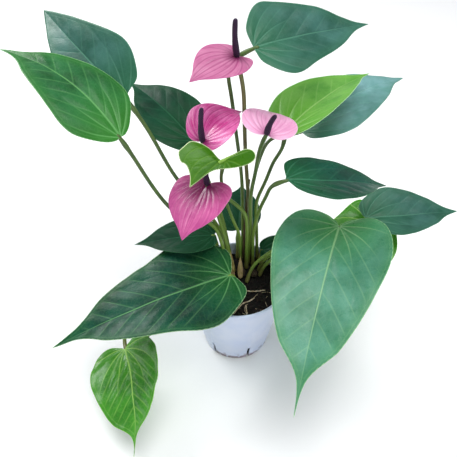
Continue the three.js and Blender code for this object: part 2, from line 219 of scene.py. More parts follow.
# Young and puckered, saturated green with a lime margin.
puckered_leaf = leaf_cuticle(
    "puckered_leaf_cuticle", "#3f8a26", "#24661a", "#458f24", "#a0d066", "#84c544", "#6c9c48",
    0.8, 0.24, 0.45,
)
# The newest: thin, bright lime, with a cream margin.
newest_leaf = leaf_cuticle(
    "newest_leaf_cuticle", "#548c10", "#2a600a", "#34690a", "#8cba3c", "#dbe9b5", "#86b04c",
    0.16, 0.32, 0.3,
)


def spathe_wax(name, bright, deep, vein, base, margin, below, gloss=0.26, pleats=0.45, base_mm=13):
    """Waxy spathe skin: saturated, glossy, with darker pleats that run from base to tip. base is the dark
    colour round the spadix, out to base_mm."""
    material, shader, add = surface(name, Coat_Weight=0.15, Coat_Roughness=0.15, IOR=1.42)
    edge = mark(add, "veins")[2]
    (basal, basal_pitch, to_base), (share, beside, below_side) = mark(add, "basal"), mark(add, "place")
    pleat = add("MapRange", from_line(add, basal, basal_pitch), 0.1, 1.2, pleats, 0, **SOFT)
    midrib = add("MapRange", beside, 0.2, 1.2, pleats, 0, **SOFT)
    lanes = add("CombineXYZ", add("Math", basal, 4.0, **TIMES), add("Math", share, 2.0, **TIMES))
    streak = add("TexNoise", {"Vector": lanes, "Scale": 1.0, "Detail": 3.0})
    cloud = add(
        "Math", add("MapRange", speckle(add, 18), 0.35, 0.7, 0, 0.5, **SOFT),
        add("MapRange", streak, 0.35, 0.65, 0, 0.6, **SOFT), **PLUS,
    )
    skin = layered(
        add, srgb(bright), (cloud, deep), (add("Math", pleat, midrib, **MOST), vein),
        ((to_base, 1.5, base_mm, 0.9, 0), base), ((edge, 0.3, 1.4, 0.6, 0), margin), (below_side, below),
    )
    rough = add("MapRange", speckle(add, 6), 0.3, 0.75, gloss - 0.04, gloss + 0.08, **SOFT)
    relief = add("Math", add("Math", streak, 0.6, **TIMES), add("Math", pleat, -0.9, **TIMES), **PLUS)
    dress(add, shader, skin, rough, relief, 0.14)
    return material


# Open flower: magenta-pink wax, darkest round the spadix.
pink_spathe = spathe_wax(
    "pink_spathe_wax", "#d0669e", "#b44686", "#9c2e6c", "#640c42", "#c86aa0", "#c080a6", 0.24, 0.3, 36
)
# The oldest flower, on its way to dull pink.
dull_spathe = spathe_wax(
    "dull_spathe_wax", "#c47c9e", "#b05a86", "#8a2c64", "#6a1048", "#b8488a", "#b8809e", 0.34, 0.5, 16
)
# The flower that has faded on one side.
mixed_spathe = spathe_wax(
    "mixed_spathe_wax", "#da74ae", "#c42c84", "#a62a72", "#8a2262", "#d88ab8", "#c890b0"
)
# A flower that has only just opened, pale and satin.
pale_spathe = spathe_wax(
    "pale_spathe_wax", "#ebb0d0", "#dc92bb", "#cb7aa8", "#c06a9c", "#f2cfe0", "#dcb0c8", 0.32, 0.3
)


# ---- Stalks, spadices and dry parts

def stalk_skin(name, green, shade, fresh, foot, gloss, ridge_mm=0.12):
    """Stalk skin with fine streaks along it, brownish at the foot and fresher for some way above it."""
    material, shader, add = surface(name, IOR=1.45)
    run = add("Attribute", attribute_name="run", out="Vector")
    up_stalk = mark(add, "run")[2]
    laid = add("Mapping", {"Vector": run, "Scale": (3.0, 3.0, 0.06)})
    streak = add("TexNoise", {"Vector": laid, "Scale": 1.0, "Detail": 3.0})
    cloud = add(
        "Math", add("MapRange", streak, 0.35, 0.65, 0, 0.6, **SOFT),
        add("MapRange", speckle(add, 12), 0.4, 0.7, 0, 0.4, **SOFT), **PLUS,
    )
    skin = layered(
        add, srgb(green), (cloud, shade), ((up_stalk, 50, 150, 0.7, 0), fresh),
        ((up_stalk, 4, 26, 0.85, 0), foot),
    )
    rough = add("MapRange", streak, 0.3, 0.7, gloss - 0.05, gloss + 0.1, **SOFT)
    dress(add, shader, skin, rough, streak, ridge_mm)
    return material


# Petiole skin: smooth, olive green, satin.
petiole_skin = stalk_skin("petiole_skin", "#587338", "#374f26", "#7a9a3c", "#6c6636", 0.38)
# Peduncle of the oldest flower: the same skin gone brown.
brown_peduncle = stalk_skin("peduncle_skin_brown", "#6d7440", "#54452a", "#70743c", "#4f3f28", 0.45)
# A cut stem, dried to cork: dull and furrowed.
dry_stem = stalk_skin("dry_stem_cork", "#6e5a3c", "#43331f", "#55432c", "#33271b", 0.8, 0.3)


def spadix_skin():
    """Hundreds of small close flowers: deep purple, each with a dull paler top."""
    material, shader, add = surface("spadix_florets", Sheen_Weight=0.04, Sheen_Roughness=0.5, IOR=1.4)
    top = add("Attribute", attribute_name="floret", out="Fac")
    skin = layered(
        add, srgb("#1a0622"), ((top, 0.15, 0.9), "#3c1843"),
        ((speckle(add, 3), 0.45, 0.7, 0, 0.4), "#2c0f35"),
    )
    dress(add, shader, skin, add("MapRange", top, 0.1, 0.9, 0.75, 0.5, **SOFT), speckle(add, 0.6), 0.12)
    return material


def papery_sheath():
    """A dried sheath: straw to brown paper, with fibres that run up it."""
    material, shader, add = surface("dry_sheath_paper", IOR=1.4)
    fibre = speckle(add, 1.6, 3.0, (1, 1, 0.07))
    skin = layered(
        add, srgb("#b3a566"), ((fibre, 0.35, 0.65), "#7c6a3a"),
        ((speckle(add, 9), 0.45, 0.7, 0, 0.6), "#c8a888"),
    )
    dress(add, shader, skin, add("MapRange", fibre, 0.3, 0.7, 0.6, 0.8, **SOFT), fibre, 0.2)
    return material


florets, sheath_paper = spadix_skin(), papery_sheath()


def mineral(name, light, dark, spot_mm, depth_mm, rough):
    """A dull crumbly stuff: two tones in patches of spot_mm, and relief of two sizes."""
    material, shader, add = surface(name, IOR=1.4)
    patch, crumb = speckle(add, spot_mm, 4.0), speckle(add, spot_mm / 4, 3.0)
    skin = layered(add, srgb(dark), ((patch, 0.38, 0.66), light), ((crumb, 0.55, 0.75, 0, 0.6), light))
    dulled = add("MapRange", crumb, 0.3, 0.7, rough - 0.1, rough, **SOFT)
    dress(add, shader, skin, dulled, add("Math", patch, crumb, **PLUS), depth_mm)
    return material


# Damp peat: near black, and rough at every size.
peat = mineral("damp_peat", "#17110e", "#080605", 4.0, 1.2, 0.9)
# Bark in the peat: dark brown flakes with a split grain.
bark = mineral("bark_flakes", "#2a1f18", "#110c0a", 3.0, 0.6, 0.85)
# Loose roots and coir: beige and woody.
root_fibre = mineral("root_fibre_wood", "#dccbb0", "#a48d70", 2.5, 0.25, 0.8)


def pot_plastic(foot_height):
    """Thin moulded polypropylene, white with a cool cast, dirty at the foot and most in front."""
    material, shader, add = surface("moulded_white_polypropylene", IOR=1.49)
    _, y, height = add("SeparateXYZ", add("TexCoord", out="Object"), out=slice(3))
    haze = speckle(add, 26)
    splash = add(
        "Math", add("MapRange", height, 0.0, foot_height, 1, 0, **SOFT),
        add("MapRange", speckle(add, 7, 5.0), 0.5, 0.62, 0, 0.85, **SOFT), **TIMES,
    )
    caked = add(
        "Math", add("MapRange", height, 0.003, 0.0075, 0.9, 0, **SOFT),
        add("MapRange", y, -0.034, -0.028, 1, 0, **SOFT), **TIMES,
    )
    caked = add("Math", caked, add("MapRange", speckle(add, 5, 4.0), 0.3, 0.5, 0, 1, **SOFT), **TIMES)
    dirt = add("Math", splash, caked, **MOST)
    skin = layered(add, srgb("#d6def2"), ((haze, 0.25, 0.8), "#c9d5ef"), (dirt, "#7c666a"))
    rough = add("MapRange", haze, 0.3, 0.7, 0.3, 0.4, **SOFT)
    rough = add("Math", rough, add("Math", dirt, 0.3, **TIMES), **PLUS)
    dress(add, shader, skin, rough, speckle(add, 1.5), 0.03)
    return material


# ---- Making meshes

def started(name, add_primitive, **how):
    """A new primitive, added with nothing else selected."""
    bpy.ops.object.select_all(action="DESELECT")
    add_primitive(**how)
    piece = bpy.context.object
    piece.name = piece.data.name = name
    return piece


def select_only(piece):
    """Selects a piece and makes it the active one."""
    bpy.ops.object.select_all(action="DESELECT")
    piece.select_set(True)
    bpy.context.view_layer.objects.active = piece


def finished(piece, material, slot, *nodes):
    """Gives the piece its material and its body, and hides the CAD nodes that it stands for. slot is not
    used.
    """
    piece.data.materials.clear()
    piece.data.materials.append(material)
    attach(piece, "root")
    if nodes:
        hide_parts(*nodes)
    return piece


def shell(name, points, **marks):
    """A closed skin from a grid primitive whose rows are wrapped round and whose end rows close to a point.
    points is rows x columns x 3 in metres, and marks are attributes of one or three values per point."""
    rows, columns = points.shape[:2]
    piece = started(name, bpy.ops.mesh.primitive_grid_add,
                    x_subdivisions=columns - 1, y_subdivisions=rows - 1, calc_uvs=False)
    piece.data.vertices.foreach_set("co", points.astype(np.float32).ravel())
    for key, values in marks.items():
        three = values.ndim == 3
        made = piece.data.attributes.new(key, "FLOAT_VECTOR" if three else "FLOAT", "POINT")
        made.data.foreach_set("vector" if three else "value", values.astype(np.float32).ravel())
    bpy.ops.object.mode_set(mode="EDIT")
    bpy.ops.mesh.select_all(action="SELECT")
    bpy.ops.mesh.remove_doubles(threshold=1e-6)
    bpy.ops.mesh.normals_make_consistent(inside=False)
    if bmesh.from_edit_mesh(piece.data).calc_volume(signed=True) < 0:
        bpy.ops.mesh.flip_normals()
    bpy.ops.object.mode_set(mode="OBJECT")
    bpy.ops.object.shade_smooth()
    return piece


def spline(values, at, knots=None):
    """A natural cubic through values, read at the places in at. Its knots are whole numbers by default."""
    n = len(values)
    x = np.arange(n, dtype=float) if knots is None else knots
    flat = values.reshape(n, -1)
    gap = np.diff(x)
    system, right = np.eye(n), np.zeros_like(flat)
    for i in range(1, n - 1):
        system[i, i - 1 : i + 2] = gap[i - 1], 2 * (gap[i - 1] + gap[i]), gap[i]
        right[i] = 6 * ((flat[i + 1] - flat[i]) / gap[i] - (flat[i] - flat[i - 1]) / gap[i - 1])
    second = np.linalg.solve(system, right)
    i = np.clip(np.searchsorted(x, at, side="right") - 1, 0, n - 2)
    h = gap[i][:, None]
    b = (at - x[i])[:, None] / h
    a = 1 - b
    read = a * flat[i] + b * flat[i + 1] + ((a**3 - a) * second[i] + (b**3 - b) * second[i + 1]) * h**2 / 6
    return read.reshape(len(at), *values.shape[1:])


MARGIN_STEPS = 600  # that measure the length of a blade's margin


def evenly(rays, count):
    """Rays of a blade's half, splined and spread so that their ends lie evenly along the margin."""
    step = np.linalg.norm(np.diff(rays[:, -1], axis=0), axis=1) ** 0.6  # between even and chord knots
    knots = np.concatenate([[0], np.cumsum(step)])
    fine = np.linspace(0, knots[-1], MARGIN_STEPS)
    ends = spline(rays[:, -1], fine, knots)
    far = np.concatenate([[0], np.cumsum(np.linalg.norm(np.diff(ends, axis=0), axis=1))])
    return spline(rays, np.interp(np.linspace(0, far[-1], count), far, fine), knots)


def unit(v):
    """Vectors brought to length 1."""
    return v / np.maximum(np.linalg.norm(v, axis=-1, keepdims=True), 1e-12)


def soft_step(x, low, high):
    """0 up to low, 1 from high on, and soft between them."""
    t = np.clip((x - low) / (high - low), 0, 1)
    return t * t * (3 - 2 * t)


def waves(points, spot_mm, seed):
    """Smooth noise from -1 to 1 at each point, in patches about spot_mm wide."""
    flat = points.reshape(-1, 3) / (spot_mm * MM) + np.array([seed * 7.3, seed * 3.1, seed * 5.7])
    return np.array([noise.noise(p) for p in flat]).reshape(points.shape[:-1])


def merged(name):
    """A CAD node's points, the neighbours of each, and their normals, with its loose triangles merged."""
    mesh = bmesh.new()
    mesh.from_mesh(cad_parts[name].data)
    bmesh.ops.remove_doubles(mesh, verts=mesh.verts, dist=1e-5)
    mesh.verts.index_update()
    mesh.normal_update()
    points = np.array([v.co for v in mesh.verts])
    normals = np.array([v.normal for v in mesh.verts])
    near = [[e.other_vert(v).index for e in v.link_edges] for v in mesh.verts]
    mesh.free()
    return points, near, normals


def outward(near, start):
    """The rings of points that lie one, two, three and more edges away from start."""
    seen, rings = set(start), [list(start)]
    while True:
        found = sorted({j for i in rings[-1] for j in near[i]} - seen)
        if not found:
            return rings
        seen.update(found)
        rings.append(found)


# ---- Stalks

CAD_SIDES = 8  # of a CAD stalk


def centreline(name):
    """Centre and radius of each ring of a CAD stalk, from its lower end to its upper."""
    points, near, _ = merged(name)
    low = points[int(np.argmin(points[:, 2]))]
    foot_ring = sorted(range(len(points)), key=lambda i: np.linalg.norm(points[i] - low))[:CAD_SIDES]
    rings = outward(near, foot_ring)
    centres = np.array([points[r].mean(0) for r in rings])
    radii = np.array([np.linalg.norm(points[r] - c, axis=1).mean() for r, c in zip(rings, centres)])
    return centres, radii


def tube(name, path, radii, shape, sides=20, steps=90):
    """A smooth round stalk along path with rounded ends. shape(angle, along_mm) scales its radius."""
    count = len(path)
    at = np.linspace(0, count - 1, steps)
    line, radius = spline(path, at), spline(radii[:, None], at)[:, 0]
    ahead = unit(np.gradient(line, axis=0))
    side = np.zeros_like(line)
    side[0] = unit(np.cross(ahead[0], (0.31, 0.95, 0.02)))
    for i in range(1, steps):
        side[i] = unit(side[i - 1] - ahead[i] * (side[i - 1] @ ahead[i]))
    up = np.cross(ahead, side)
    along = np.concatenate([[0], np.cumsum(np.linalg.norm(np.diff(line, axis=0), axis=1))]) / MM
    angle = np.linspace(0, tau, sides + 1)
    turn, far = np.meshgrid(angle, along)
    swell = radius[:, None] * shape(turn, far)
    round_ = side[:, None] * np.cos(turn)[..., None] + up[:, None] * np.sin(turn)[..., None]
    skin = line[:, None] + round_ * swell[..., None]
    ends = []
    for i, way in ((0, -1), (-1, 1)):  # each end is a lip and then a point
        lip = line[i] + round_[i] * swell[i][:, None] * 0.72 + ahead[i] * way * 0.6 * radius[i]
        tip = np.repeat((line[i] + ahead[i] * way * 0.8 * radius[i])[None], sides + 1, 0)
        ends.append((lip, tip))
    skin = np.concatenate([[ends[0][1], ends[0][0]], skin, [ends[1][0], ends[1][1]]])
    skin[:, -1] = skin[:, 0]
    rows = np.concatenate([far[:1], far[:1], far, far[-1:], far[-1:]])
    turns = np.concatenate([turn[:1], turn[:1], turn, turn[-1:], turn[-1:]])
    return shell(name, skin, run=np.stack([np.cos(turns), np.sin(turns), rows], -1))


# ---- Blades

CAD_RINGS = 5  # of a CAD blade, with its centre


def blade_rays(name, lowest_tip):
    """Rays of a CAD blade's upper side, from its centre to its margin, as rays x CAD_RINGS x 3, and which
    of them ends at the tip."""
    points, near, normals = merged(name)
    valence = [len(n) for n in near]
    centres = [i for i in range(len(points)) if valence[i] == max(valence)]
    centre = max(centres, key=lambda i: normals[i][2])
    rings = outward(near, [centre])[:CAD_RINGS]
    count = len(rings[1])
    walks = []  # round each ring, all from one ray and the same way round
    for ring in rings[1:]:
        walk = [ring[0]]
        while len(walk) < count:
            walk.append(next(j for j in near[walk[-1]] if j in ring and j not in walk))
        ways = unit(points[walk] - points[centre])
        if walks:
            before = unit(points[walks[-1]] - points[centre])
            turned = [(np.roll(walk[::step], k), np.roll(ways[::step], k, 0))
                      for step in (1, -1) for k in range(count)]
            joined = [(w, (d * before).sum()) for w, d in turned
                      if all(b in near[a] for a, b in zip(walks[-1], w))]
            walk = max(joined, key=lambda pair: pair[1])[0]
        walks.append(list(walk))
    rays = np.array([points[[centre, *ray]] for ray in zip(*walks)])
    if np.cross(rays[0, 1] - rays[0, 0], rays[1, 1] - rays[1, 0]) @ normals[centre] < 0:
        rays = rays[::-1]
    reach = np.linalg.norm(rays[:, -1] - rays[:, 0], axis=1)
    tip = int(np.argmin(rays[:, -1, 2])) if lowest_tip else int(np.argmax(reach))
    return rays, tip


RAYS, RINGS = 192, 36  # of a finished blade, on each side
HALF = RAYS // 2
EASED = 40  # times that the lobes of a blade are eased round
HELD = [*range(4), *range(HALF - 14, HALF + 15), *range(RAYS - 3, RAYS + 1)]  # rays at the sinus and tip


def fine_rays(rays, sinus, tip, eased_times):
    """A blade's upper side as rings x rays x 3, splined from the CAD's few rays, from the sinus round by
    the tip. Its lobes are eased, while the sinus and the tip stay."""
    count = len(rays)
    r, known = np.linspace(0, 1, RINGS + 1), np.linspace(0, 1, CAD_RINGS)
    weights = np.array([  # of each CAD ring at each fine one, on the polynomial through them all
        np.prod([(r - other) / (ring - other) for other in known if other != ring], axis=0) for ring in known
    ])
    rays = np.einsum("kr,ukc->urc", weights, rays)
    order = [(sinus + i) % count for i in range(count + 1)]
    turn = order.index(tip)
    right = evenly(rays[order[: turn + 1]], HALF + 1)
    left = evenly(rays[order[turn:]], HALF + 1)
    top = np.concatenate([right, left[1:]]).transpose(1, 0, 2)
    top[:, -1] = top[:, 0]
    for _ in range(eased_times):
        eased = (np.roll(top, 1, 1) + 2 * top + np.roll(top, -1, 1)) / 4
        eased[:, HELD] = top[:, HELD]
        top = eased
    return top


VEIN_LEAN, VEIN_BEND = 1.1, 0.35  # how far a side vein leans to the tip, and how much more outside
SLOW_MM, RIPPLE_MM = 34, 15  # waves of a blade, and ripples of its margin


def blade(name, source, material, slot, stalk_end, wave, quilt, seed, vein_mm=24.0, rib=1.0,
          thick=0.7, arcs=5.4, drip=0.25, lobes=0.0, lowest_tip=False):
    """A leaf, spathe or sheath from the CAD blade source. stalk_end is where its stalk meets it, wave the
    size of its slow waves in mm, quilt how far it swells between veins, vein_mm the spacing of its side
    veins along the midrib, rib how bold its veins stand, thick its thickness in mm, arcs the veins in a
    half turn that fan out from the stalk and meet at the tip, drip how much its last part is drawn in to
    a drip tip, and lobes by how many mm its two lobes fill out. A blade with lowest_tip hangs rolled up.
    Gives back its junction with the stalk, the way from there to the tip, and the way up there."""
    rays, tip = blade_rays(source, lowest_tip)
    if lowest_tip:
        sinus = int(np.argmin(np.linalg.norm(rays[:, -1] - stalk_end, axis=1)))
    else:
        sinus = (tip + len(rays) // 2) % len(rays)
    top = fine_rays(rays, sinus, tip, 0 if lowest_tip else EASED)
    r = np.linspace(0, 1, RINGS + 1)

    # Its own axes, the drip tip and the lobes.
    junction, end = top[-1, 0], top[-1, HALF]
    length = np.linalg.norm(end - junction)
    axis = (end - junction) / length
    spin = np.cross(top[1:, 1:] - top[:-1, 1:], top[1:, 1:] - top[1:, :-1])
    facing = unit(spin.reshape(-1, 3).sum(0))
    if facing @ np.cross(top[-1, HALF // 2] - top[0, 0], top[-1, HALF // 2 + 9] - top[0, 0]) < 0:
        facing = -facing
    across = unit(np.cross(facing, axis))
    rib_line = np.concatenate([top[::-1, 0], top[1:, HALF]])
    rib_s, rib_q = (rib_line - junction) @ axis, (rib_line - junction) @ across
    beside = (top - junction) @ across - np.interp((top - junction) @ axis, rib_s, rib_q)
    ahead = (top - junction) @ axis / length
    drawn = drip * soft_step(ahead, 0.7, 0.9)
    longer = 0.04 * drip * length * soft_step(ahead, 0.85, 1)
    top = top - across * (beside * drawn)[..., None] + axis * longer[..., None]
    beside = beside * (1 - drawn)
    bearing = np.arctan2(np.abs(beside) / length, 0.25 - ahead)
    filled = lobes * MM * (r**2)[:, None] * soft_step(bearing, 0.15, 0.6)
    filled = filled * (1 - soft_step(bearing, 1.2, 2.2))
    wider = filled * np.sin(bearing) * np.sign(beside)
    top = top + across * wider[..., None] - axis * (filled * np.cos(bearing))[..., None]

    # Where each point lies, in mm: s along the midrib, q beside it, edge from the margin.
    margin = top[-1]
    s = (top - junction) @ axis / MM
    q = np.abs(beside + wider) / MM
    q[:, 0] = q[:, HALF] = q[:, -1] = 0
    behind = s < 0
    q = np.where(behind, np.abs((top - junction) @ across) / MM, q)
    edge = np.array([np.linalg.norm(row[:, None] - margin[None, ::2], axis=2).min(1) for row in top]) / MM
    edge[-1] = 0
    width = np.percentile(q, 97)
    span = length / MM

    # Basal veins run on circles through the junction and the tip; side veins lean and bend to the tip.
    to_base, to_tip = np.hypot(s, q) + 1e-3, np.hypot(s - span, q) + 1e-3
    seen = np.arccos(np.clip((to_base**2 + to_tip**2 - span**2) / (2 * to_base * to_tip), -1, 1))
    basal, basal_pitch = (pi - seen) / pi * arcs, pi / arcs * to_base * to_tip / span
    start = s - VEIN_LEAN * q - VEIN_BEND * q**2 / width
    phase = np.maximum(start / vein_mm, -0.5)
    pitch = vein_mm / np.hypot(1, VEIN_LEAN + 2 * VEIN_BEND * q / width)
    share = np.clip(s / span, 0, 1)

    # The way up at each point, from its neighbours along and across the rays.
    along_r = np.gradient(top, axis=0)
    along_u = np.roll(top, -1, 1) - np.roll(top, 1, 1)
    along_u[:, 0] = along_u[:, -1] = top[:, 1] - top[:, -2]
    up = unit(np.cross(along_r, along_u))
    up[0] = unit(up[1].mean(0))
    if lowest_tip or stalk_end is None:  # so curled that its own skin faces both ways
        up = up * np.sign(up[1].mean(0) @ facing)
    else:
        up = np.where((up @ facing)[..., None] < 0, -up, up)

    # Relief of the upper side, then the thickness down to the lower.
    free = soft_step(np.linalg.norm(top - junction, axis=2) / MM, 4, 24)
    inner = soft_step(edge, 0.5, 7) * soft_step(q, 1, 6)
    from_side = np.abs((phase + 0.5) % 1 - 0.5) * pitch
    from_basal = np.abs((basal + 0.5) % 1 - 0.5) * basal_pitch
    run_out = 1 - soft_step(to_base, 0.35 * span, 0.8 * span)
    lift = quilt * (np.sin(pi * basal) ** 2 - 0.5) * inner * np.clip(basal_pitch / 9, 0, 1) * run_out
    lift += 0.6 * quilt * (np.sin(pi * phase) ** 2 - 0.5) * inner * np.clip(start / 12, 0, 1)
    lift += wave * waves(top, SLOW_MM, seed) * free * 1.3
    lift += wave * 0.9 * waves(top, RIPPLE_MM, seed + 4) * free * soft_step(edge, 16, 0)
    lift -= 0.5 * rib * np.exp(-((q / 1.5) ** 2)) * (1 - 0.75 * share) * np.where(behind, 0, 1)
    groove = 0.25 * np.exp(-((from_basal / 1.0) ** 2)) * run_out + 0.1 * np.exp(-((from_side / 0.9) ** 2))
    lift -= rib * groove * inner
    skin = top + up * (lift * MM)[..., None]
    depth = thick * (0.35 + 0.65 * soft_step(edge, 0, 3))
    depth += rib * 1.3 * np.exp(-((q / 1.7) ** 2)) * (1 - 0.8 * share) * soft_step(edge, 0, 6)
    depth += 1.6 * rib * groove * inner
    under = skin - up * (depth * MM)[..., None]
    points = np.concatenate([skin, under[::-1]])
    points[:, -1] = points[:, 0]

    def both(values):
        return np.concatenate([values, values[::-1]])

    lower = np.concatenate([np.zeros_like(share), np.ones_like(share)])
    piece = shell(
        name, points, veins=np.stack([both(phase), both(pitch), both(edge)], -1),
        basal=np.stack([both(basal), both(basal_pitch), both(to_base)], -1),
        place=np.stack([both(share), both(q), lower], -1),
    )
    finished(piece, material, slot, source)
    return junction, axis, up[-1, 0]


LEAVES = {  # material, slot and how each is shaped
    "back_left_high": (sky_sheen_leaf, "leaf_dark", dict(lobes=2, drip=0.1, wave=0.9, quilt=0.5)),
    "left_high": (fresh_leaf, "leaf_mid", dict(drip=0.35, wave=0.8, quilt=0.7, vein_mm=22)),
    "back_left": (shade_leaf, "leaf_dark", dict(wave=0.7, quilt=0.5)),
    "back_right_high": (sky_sheen_leaf, "leaf_dark", dict(lobes=3, wave=1.0, quilt=0.6)),
    "right_young": (young_leaf, "leaf_young", dict(wave=0.7, quilt=0.4)),
    "back_right": (sky_reflection_leaf, "leaf_dark", dict(wave=0.9, quilt=0.6)),
    "right_upper": (mature_leaf, "leaf_dark", dict(wave=0.8, quilt=0.5)),
    "right": (sky_sheen_leaf, "leaf_dark", dict(wave=1.0, quilt=0.7)),
    "right_lower": (puckered_leaf, "leaf_mid", dict(wave=0.6, quilt=0.4)),
    "front_right": (
        broad_leaf, "leaf_mid", dict(lobes=3, drip=0.55, wave=0.9, quilt=0.7, vein_mm=30, rib=1.2)),
    "front_left": (
        veined_leaf, "leaf_dark", dict(lobes=7, drip=0.4, wave=0.9, quilt=0.7, vein_mm=28, rib=1.2)),
    "low_left": (puckered_leaf, "leaf_young", dict(lobes=2, drip=0.6, wave=1.7, quilt=1.3, vein_mm=15)),
    "left": (shade_leaf, "leaf_dark", dict(wave=0.5, quilt=0.4, vein_mm=18)),
    "back_low": (shade_leaf, "leaf_dark", dict(wave=0.4, quilt=0.4, vein_mm=17)),
    "right_inner": (shade_leaf, "leaf_dark", dict(wave=0.3, quilt=0.3, vein_mm=14, rib=0.7)),
    "newest": (newest_leaf, "leaf_young", dict(wave=0.0, quilt=0.2, vein_mm=12, rib=0.6, lowest_tip=True)),
}
SPATHES = {  # material and slot, those of its peduncle, and how it is shaped
    "top": (dull_spathe, "spathe_pink", brown_peduncle, "stem_brown", dict(wave=0.4, quilt=0.45)),
    "middle_left": (mixed_spathe, "spathe_pink", petiole_skin, "petiole_green", dict(wave=0.3, quilt=0.35)),
    "middle_right": (pale_spathe, "spathe_pale", petiole_skin, "petiole_green", dict(wave=0.4, quilt=0.5)),
    "front": (pink_spathe, "spathe_pink", petiole_skin, "petiole_green", dict(wave=0.5, quilt=0.12)),
}


FOOT_SWELL = 0.25  # of a stalk's radius
KNEE_MM = 9  # from the blade down to the middle of its stalk's knee


def carry(name, source, material, slot, junction, axis, up, knee, run_in=4.5):
    """The stalk under a blade: it swells into a knee, by that share of its radius, and runs on for run_in
    mm into the midrib."""
    centres, radii = centreline(source)
    into = junction + axis * run_in * MM - up * 1.3 * MM
    path = np.concatenate([centres[:-1], [centres[-1] * 0.5 + junction * 0.5 - up * 0.8 * MM], [into]])
    radius = np.concatenate([radii[:-1], [radii[-1] * 0.95], [radii[-1] * 0.45]])
    length = np.linalg.norm(np.diff(centres, axis=0), axis=1).sum() / MM

    def shape(turn, far):
        swell = 1 + knee * np.exp(-(((far - length + KNEE_MM) / 6.5) ** 2))
        swell += FOOT_SWELL * np.exp(-((far / 9) ** 2))
        return swell * (1 - 0.05 * np.cos(2 * turn))

    return finished(tube(name, path, radius, shape), material, slot, source)


for number, (name, (material, slot, looks)) in enumerate(LEAVES.items()):
    petiole_end = centreline(f"petiole_{name}")[0][-1]
    junction, axis, up = blade(f"leaf_blade_{name}", f"leaf_{name}", material, slot, petiole_end,
                               seed=number + 1, **looks)
    carry(f"leaf_stalk_{name}", f"petiole_{name}", petiole_skin, "petiole_green", junction, axis, up, 0.28)


# ---- Flowers

FLORET_MM = 1.25  # from one row of florets to the next
SPIRALS = 8  # of florets each way round
SPIKE_STEPS, SPIKE_SIDES = 200, 84


def spadix(name, source, seat):
    """A spadix: a tapering spike close-set with small four-sided florets in crossing spirals."""
    points, near, _ = merged(source)
    ends = [i for i in range(len(points)) if len(near[i]) == max(len(n) for n in near)]
    low, high = sorted(ends, key=lambda i: np.linalg.norm(points[i] - seat))
    rings = outward(near, [low])
    centres = np.array([points[r].mean(0) for r in rings])
    radii = np.array([np.linalg.norm(points[r] - c, axis=1).mean() for r, c in zip(rings, centres)])
    base, tip = points[low], points[high]
    length = np.linalg.norm(tip - base)
    lean = (tip - base) / length
    base = base - lean * min(2.6 * MM, max(0.0, (base - seat) @ lean))  # down onto the spathe
    t = np.linspace(0, 1, SPIKE_STEPS)
    length = np.linalg.norm(tip - base)
    reach = (centres[1:-1] - base) @ lean / length
    thick = np.interp(t, reach, radii[1:-1])
    side = unit(np.cross(lean, (0.2, 0.9, 0.1)))
    other = np.cross(lean, side)
    bow = side * 0.0012
    turn, far = np.meshgrid(np.linspace(0, tau, SPIKE_SIDES + 1), t)
    rows = length / MM / FLORET_MM
    one = 0.5 + 0.5 * np.cos(SPIRALS * turn + tau * rows * far * 0.5)
    two = 0.5 + 0.5 * np.cos(SPIRALS * turn - tau * rows * far * 0.5)
    floret = np.sqrt(one * two) * soft_step(far, 0.02, 0.06)
    close = np.sqrt(np.clip(1 - np.clip((far * length - length + thick[-1]) / thick[-1], 0, 1) ** 2, 0, 1))
    close *= soft_step(far, -0.05, 0.03) * 0.35 + 0.65
    radius = (thick[:, None] * (0.9 + 0.06 * np.sin(9 * far)) + 0.38 * MM * floret) * close
    radius[0] = radius[-1] = 0
    middle = base + lean * (t * length)[:, None] + bow * np.sin(pi * t)[:, None]
    round_ = side * np.cos(turn)[..., None] + other * np.sin(turn)[..., None]
    skin = middle[:, None] + radius[..., None] * round_
    skin[:, -1] = skin[:, 0]
    return finished(shell(name, skin, floret=floret), florets, "spadix_purple", source)


for number, (name, (material, slot, stem, stem_slot, looks)) in enumerate(SPATHES.items()):
    stalk_end = centreline(f"peduncle_{name}")[0][-1]
    junction, axis, up = blade(f"spathe_blade_{name}", f"spathe_{name}", material, slot, stalk_end,
                               arcs=9, thick=0.9, rib=0.8, seed=number + 31, **looks)
    carry(f"flower_stalk_{name}", f"peduncle_{name}", stem, stem_slot, junction, axis, up, 0.12, run_in=2.0)
    spadix(f"spadix_spike_{name}", f"spadix_{name}", junction)


# ---- Stem base, old stub and dry sheaths

def knobbly(name, source, material, slot, seed):
    """A short scarred stem base: a subdivided ball, drawn to the CAD crown's size and ringed with scars."""
    low, high = (np.array(c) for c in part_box(source))
    piece = started(name, bpy.ops.mesh.primitive_uv_sphere_add, segments=48, ring_count=32, radius=1)
    co = np.zeros(len(piece.data.vertices) * 3)
    piece.data.vertices.foreach_get("co", co)
    co = co.reshape(-1, 3)
    scar = 1 + 0.06 * np.sin(co[:, 2] * 13 + 2 * np.arctan2(co[:, 1], co[:, 0])) * (1 - co[:, 2] ** 2)
    rough = 1 + 0.16 * np.array([noise.noise(Vector(p) * 2.6 + Vector((seed, 0, 0))) for p in co])
    size, middle = (high - low) / 2, (high + low) / 2
    co *= (scar * rough)[:, None]
    co = co * size * (1.04, 1.04, 1.1) + middle - (0, 0, 0.1 * size[2])
    piece.data.vertices.foreach_set("co", co.astype(np.float32).ravel())
    bpy.ops.object.shade_smooth()
    run = piece.data.attributes.new("run", "FLOAT_VECTOR", "POINT")
    low_down = np.full((len(co), 1), 5.0)  # as brown as the foot of a stalk
    run.data.foreach_set("vector", np.concatenate([unit(co - middle)[:, :2], low_down], 1).ravel())
    return finished(piece, material, slot, source)


knobbly("stem_base_left", "crown_left", dry_stem, "stem_brown", 3)
knobbly("stem_base_right", "crown_right", dry_stem, "stem_brown", 8)

